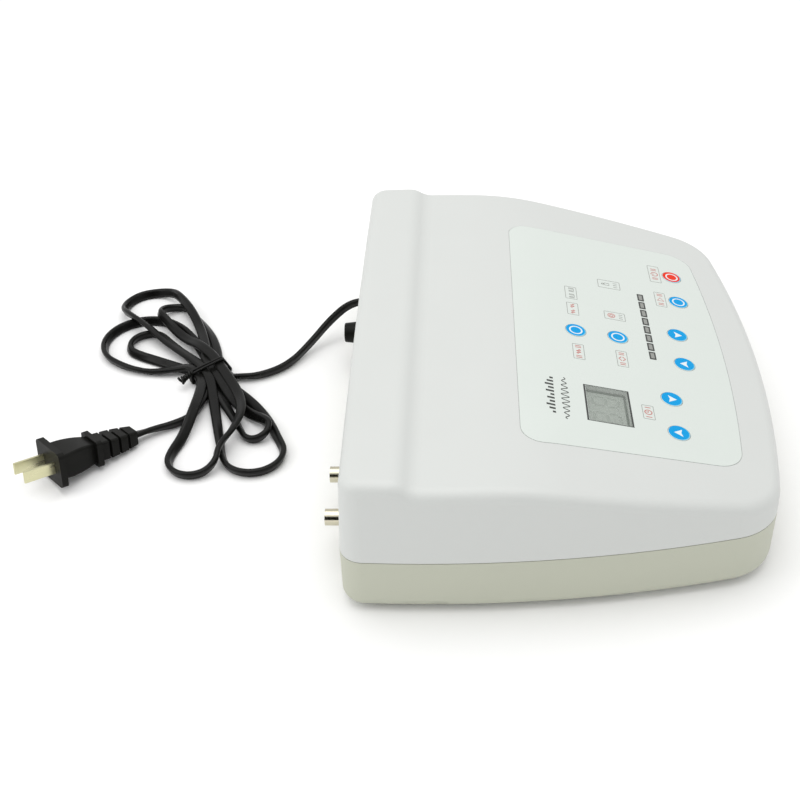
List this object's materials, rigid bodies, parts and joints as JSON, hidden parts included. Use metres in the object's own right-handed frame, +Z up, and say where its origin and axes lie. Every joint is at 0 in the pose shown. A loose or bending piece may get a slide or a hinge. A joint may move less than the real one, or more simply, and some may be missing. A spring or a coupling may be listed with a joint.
{
  "type": "ultrasound therapy device",
  "caption": "Desktop ultrasound therapy unit: wedge-shaped two-part casing with a sloping keypad, digit display, rear probe sockets, fuse cap and tied mains cord.",
  "frame": {"origin": "under the middle of the casing and its rear fittings, on the surface that the feet stand on; the mains cord, its plug and its tie are not counted", "axes": "+X to the user's right, +Y to the rear, +Z up"},
  "size_m": [0.282, 0.3939, 0.0762],
  "materials": {
    "white_shell": "fine satin moulded ABS, white",
    "beige_base": "fine satin moulded ABS, beige grey",
    "keypad_film": "printed polyester film, satin, pale green grey",
    "clear_film": "clear smooth window",
    "key_cap": "white key with printed ring or arrow",
    "black_plastic": "black moulded plastic",
    "rubber_black": "black rubber, matt",
    "cord_pvc": "black flexible cord sheath, satin",
    "nickel": "bright nickel plating, slightly warm",
    "blade_brass": "nickel-plated brass, slightly yellow",
    "steel": "zinc-plated steel",
    "pcb": "green solder mask on glass-fibre board",
    "display_face": "grey face of the digit module",
    "segment": "unlit pale segments",
    "lamp": "diffused red lamp resin",
    "laminations": "varnished stacked laminations",
    "ferrite": "matt ferrite",
    "winding": "enamelled wire wound in layers",
    "aluminium": "extruded aluminium",
    "blue_case": "moulded or sleeved blue case",
    "lead_sleeve": "coloured wire insulation",
    "ribbon": "grey flat cable",
    "nylon": "natural nylon"
  },
  "bodies": {
    "casing": {"top_shell": "white_shell", "base_shell": "beige_base", "case_screws": "steel", "rubber_feet": "rubber_black", "keypad_film": "keypad_film", "display_window": "clear_film", "tact_switches": "black_plastic", "display_board": "pcb", "display_board_screws": "steel", "digit_module": "display_face", "digit_segments": "segment", "bargraph_lamps": "lamp", "icon_lamps": "lamp", "display_header": "nylon", "ribbon_cable": "ribbon", "main_board": "pcb", "main_board_screws": "steel", "main_header": "nylon", "heatsink": "aluminium", "drive_transistors": "black_plastic", "transistor_screws": "steel", "drive_transformer": "ferrite", "drive_winding": "winding", "capacitors": "blue_case", "rectifier": "black_plastic", "relay": "blue_case", "buzzer": "black_plastic", "controller_chip": "black_plastic", "terminal_blocks": "blue_case", "transformer_core": "laminations", "transformer_winding": "winding", "transformer_bracket": "steel", "transformer_screws": "steel", "transformer_pad": "rubber_black", "socket_shells": "nickel", "socket_insulators": "black_plastic", "socket_contacts": "nickel", "socket_nuts": "nickel", "fuse_holder_body": "black_plastic", "fuse_holder_nut": "black_plastic", "fuse_contacts": "nickel", "strain_relief": "rubber_black", "internal_leads": "lead_sleeve", "power_cord_lead": "cord_pvc", "power_cord_hank": "cord_pvc", "power_cord_tail": "cord_pvc", "cord_tie": "rubber_black", "plug_body": "rubber_black", "plug_blades": "blade_brass"},
    "key_power": {"key_power": "key_cap"},
    "key_start": {"key_start": "key_cap"},
    "key_output_down": {"key_output_down": "key_cap"},
    "key_output_up": {"key_output_up": "key_cap"},
    "key_time_down": {"key_time_down": "key_cap"},
    "key_time_up": {"key_time_up": "key_cap"},
    "key_mode": {"key_mode": "key_cap"},
    "key_select": {"key_select": "key_cap"},
    "fuse": {"fuse_ends": "nickel", "fuse_glass": "clear_film"},
    "fuse_carrier": {"fuse_cap": "black_plastic"}
  },
  "joints": [
    {"name": "power_press", "type": "slide", "parent": "casing", "child": "key_power", "axis": [0, 0.2127, -0.9771], "range_m": [0, 0.00035], "stiffness_N_per_m": 1500, "springref_m": -0.0003},
    {"name": "start_press", "type": "slide", "parent": "casing", "child": "key_start", "axis": [0, 0.2127, -0.9771], "range_m": [0, 0.00035], "stiffness_N_per_m": 1500, "springref_m": -0.0003},
    {"name": "output_down_press", "type": "slide", "parent": "casing", "child": "key_output_down", "axis": [0, 0.2127, -0.9771], "range_m": [0, 0.00035], "stiffness_N_per_m": 1500, "springref_m": -0.0003},
    {"name": "output_up_press", "type": "slide", "parent": "casing", "child": "key_output_up", "axis": [0, 0.2127, -0.9771], "range_m": [0, 0.00035], "stiffness_N_per_m": 1500, "springref_m": -0.0003},
    {"name": "time_down_press", "type": "slide", "parent": "casing", "child": "key_time_down", "axis": [0, 0.2127, -0.9771], "range_m": [0, 0.00035], "stiffness_N_per_m": 1500, "springref_m": -0.0003},
    {"name": "time_up_press", "type": "slide", "parent": "casing", "child": "key_time_up", "axis": [0, 0.2127, -0.9771], "range_m": [0, 0.00035], "stiffness_N_per_m": 1500, "springref_m": -0.0003},
    {"name": "mode_press", "type": "slide", "parent": "casing", "child": "key_mode", "axis": [0, 0.2127, -0.9771], "range_m": [0, 0.00035], "stiffness_N_per_m": 1500, "springref_m": -0.0003},
    {"name": "select_press", "type": "slide", "parent": "casing", "child": "key_select", "axis": [0, 0.2127, -0.9771], "range_m": [0, 0.00035], "stiffness_N_per_m": 1500, "springref_m": -0.0003},
    {"name": "fuse_pull", "type": "slide", "parent": "casing", "child": "fuse", "axis": [0, 1, 0], "range_m": [0, 0.035]},
    {"name": "fuse_cap_turn", "type": "hinge", "parent": "fuse", "child": "fuse_carrier", "pos_m": [0.06, 0.105, 0.022], "axis": [0, 1, 0], "range_deg": [-90, 0]}
  ]
}
